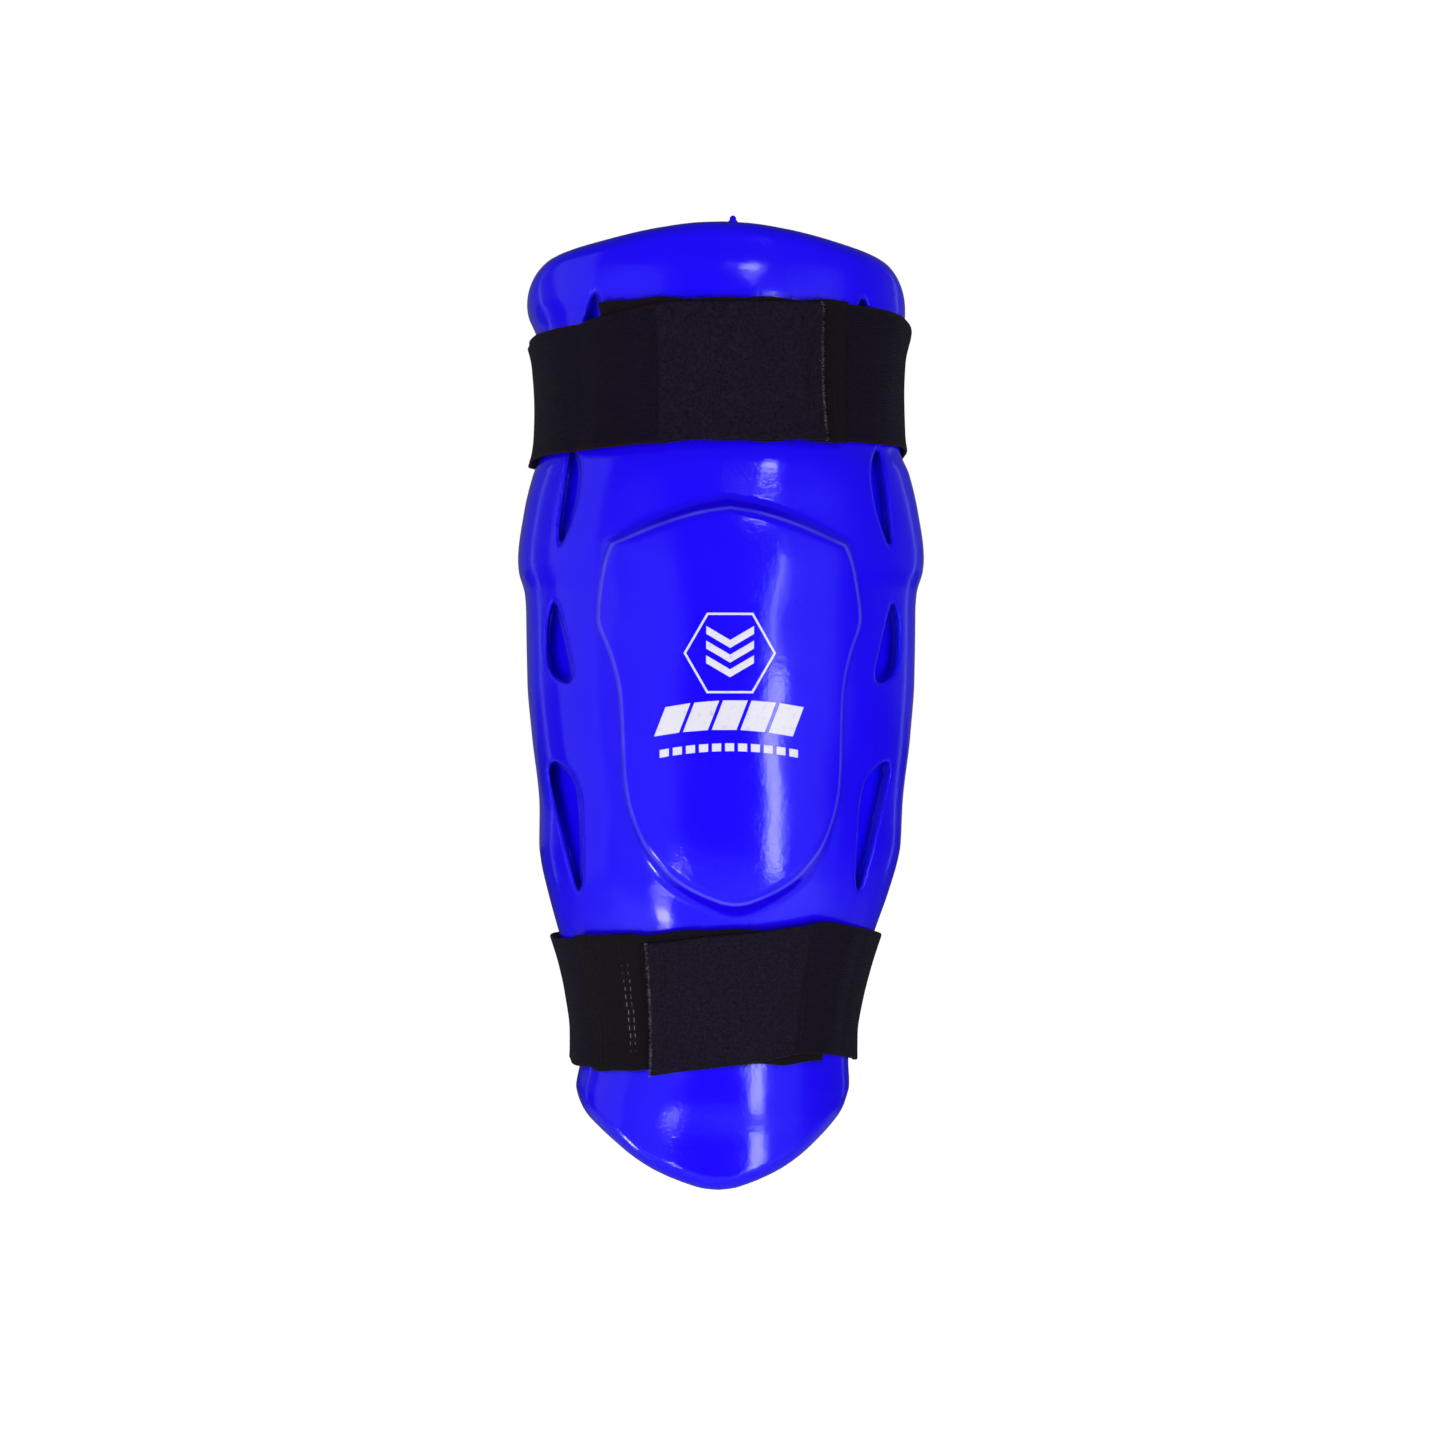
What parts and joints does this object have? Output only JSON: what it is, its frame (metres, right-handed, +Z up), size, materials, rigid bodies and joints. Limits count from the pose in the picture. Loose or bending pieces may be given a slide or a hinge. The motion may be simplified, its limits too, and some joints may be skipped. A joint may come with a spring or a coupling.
{
  "type": "shin guard",
  "caption": "Glossy dipped-foam limb guard with a raised shield, teardrop recesses and wrap-around hook-and-loop elastic straps.",
  "frame": {"origin": "on the limb's axis at the guard's mid height, where the limb cavity's mount stands", "axes": "+Z up the limb towards the knee, -Y out of the guard's front, +X to the right of someone who looks at the front"},
  "size_m": [0.1576, 0.1371, 0.3547],
  "materials": {
    "vinyl": "gloss",
    "foam": "matte",
    "elastic": "satin",
    "loop_pile": "matte",
    "hook_tape": "matte",
    "thread": "satin"
  },
  "bodies": {
    "guard": {"foam_core": "foam", "shield_pad": "foam", "vinyl_skin": "vinyl", "upper_anchor_elastic": "elastic", "upper_loop_tape": "loop_pile", "upper_loop_stitches": "thread", "lower_anchor_elastic": "elastic", "lower_loop_tape": "loop_pile", "lower_loop_stitches": "thread"},
    "upper_back": {"upper_back_elastic": "elastic"},
    "upper_side": {"upper_side_elastic": "elastic", "upper_seam_stitches": "thread"},
    "upper_tab": {"upper_hook_tab": "hook_tape", "upper_tab_stitches": "thread"},
    "lower_back": {"lower_back_elastic": "elastic"},
    "lower_side": {"lower_side_elastic": "elastic", "lower_seam_stitches": "thread"},
    "lower_tab": {"lower_hook_tab": "hook_tape", "lower_tab_stitches": "thread"}
  },
  "joints": [
    {"name": "upper_side_swing", "type": "hinge", "parent": "upper_back", "child": "upper_side", "pos_m": [-0.0764, 0.012, 0.129], "axis": [0, 0, -1], "range_deg": [0, 100]},
    {"name": "upper_back_swing", "type": "hinge", "parent": "guard", "child": "upper_back", "pos_m": [0.0752, 0.012, 0.129], "axis": [0, 0, -1], "range_deg": [0, 50]},
    {"name": "upper_tab_peel", "type": "hinge", "parent": "upper_side", "child": "upper_tab", "pos_m": [-0.025, -0.0679, 0.129], "axis": [0, 0, -1], "range_deg": [0, 110]},
    {"name": "lower_side_swing", "type": "hinge", "parent": "lower_back", "child": "lower_side", "pos_m": [0.06185, 0.012, -0.1015], "axis": [0.1709, 0, 0.9853], "range_deg": [0, 100]},
    {"name": "lower_back_swing", "type": "hinge", "parent": "guard", "child": "lower_back", "pos_m": [-0.06055, 0.012, -0.1015], "axis": [-0.1709, 0, 0.9853], "range_deg": [0, 50]},
    {"name": "lower_tab_peel", "type": "hinge", "parent": "lower_side", "child": "lower_tab", "pos_m": [0.026, -0.0524, -0.1015], "axis": [0, -0.1533, 0.9882], "range_deg": [0, 110]}
  ],
  "couplings": [
    {"joint": "upper_back_swing", "follows": "upper_side_swing", "ratio": 0.5},
    {"joint": "lower_back_swing", "follows": "lower_side_swing", "ratio": 0.5}
  ]
}
